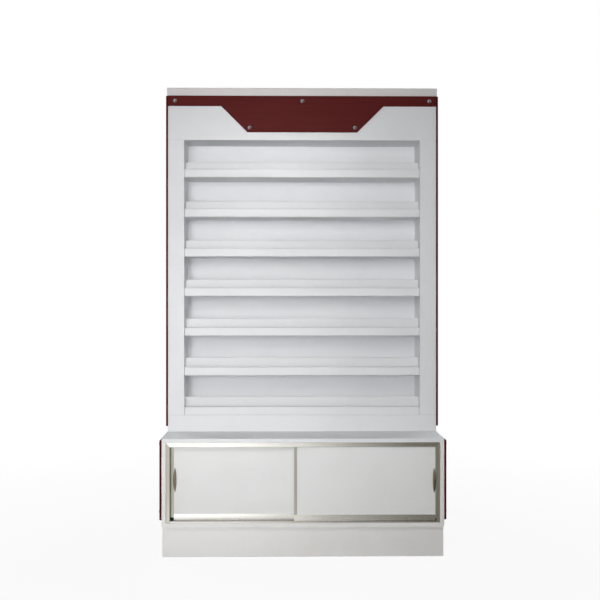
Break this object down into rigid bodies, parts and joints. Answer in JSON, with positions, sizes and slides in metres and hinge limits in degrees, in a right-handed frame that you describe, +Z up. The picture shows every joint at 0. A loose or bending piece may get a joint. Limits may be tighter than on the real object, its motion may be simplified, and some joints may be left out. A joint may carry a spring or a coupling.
{
  "type": "nail polish display stand",
  "caption": "Tall white shop display with stepped lipped shelves for bottles in a framed tower, a dark red header and side panels, on a low cabinet with bypass sliding doors.",
  "frame": {"origin": "on the floor, under the middle of the stand's outline", "axes": "+Z up, -Y out of the front, +X to the right as seen from the front"},
  "size_m": [1.083, 0.365, 1.805],
  "materials": {
    "white_board": "white melamine on board",
    "white_hardboard": "white coated hardboard",
    "dark_red_panel": "dark red laminate, satin",
    "door_aluminium": "satin anodised",
    "pull_nickel": "brushed nickel",
    "chrome_screw": "polished chrome dome",
    "black_nylon": "moulded, satin"
  },
  "bodies": {
    "stand": {"base_back": "white_hardboard", "base_counter": "white_board", "base_floor": "white_board", "base_panel_left": "dark_red_panel", "base_panel_right": "dark_red_panel", "base_side_left": "white_board", "base_side_right": "white_board", "frame_bottom_rail": "white_board", "frame_stile_left": "white_board", "frame_stile_right": "white_board", "frame_top_rail": "white_board", "header_panel": "dark_red_panel", "header_screws": "chrome_screw", "jamb_left": "door_aluminium", "jamb_right": "door_aluminium", "plinth_back": "white_board", "plinth_front": "white_board", "plinth_sides": "white_board", "recess_ceiling": "white_board", "recess_wall_left": "white_board", "recess_wall_right": "white_board", "shelf_1_board": "white_board", "shelf_1_lip": "white_board", "shelf_2_board": "white_board", "shelf_2_lip": "white_board", "shelf_3_board": "white_board", "shelf_3_lip": "white_board", "shelf_4_board": "white_board", "shelf_4_lip": "white_board", "shelf_5_board": "white_board", "shelf_5_lip": "white_board", "shelf_6_board": "white_board", "shelf_6_lip": "white_board", "shelf_7_board": "white_board", "shelf_7_lip": "white_board", "side_screws": "chrome_screw", "step_decks": "white_board", "step_risers": "white_board", "tower_back": "white_hardboard", "tower_panel_left": "dark_red_panel", "tower_panel_right": "dark_red_panel", "tower_side_left": "white_board", "tower_side_right": "white_board", "tower_top": "white_board", "track_bottom": "door_aluminium", "track_top": "door_aluminium"},
    "left_door": {"left_door_inner_glide": "black_nylon", "left_door_inner_stile": "door_aluminium", "left_door_outer_glide": "black_nylon", "left_door_outer_stile": "door_aluminium", "left_door_panel": "white_hardboard", "left_door_pull": "pull_nickel", "left_door_shoe": "door_aluminium"},
    "right_door": {"right_door_inner_glide": "black_nylon", "right_door_inner_stile": "door_aluminium", "right_door_outer_glide": "black_nylon", "right_door_outer_stile": "door_aluminium", "right_door_panel": "white_hardboard", "right_door_pull": "pull_nickel", "right_door_shoe": "door_aluminium"}
  },
  "joints": [
    {"name": "left_door_slide", "type": "slide", "parent": "stand", "child": "left_door", "axis": [1, 0, 0], "range_m": [-0.01, 0.4687]},
    {"name": "right_door_slide", "type": "slide", "parent": "stand", "child": "right_door", "axis": [1, 0, 0], "range_m": [-0.4787, 0]}
  ]
}
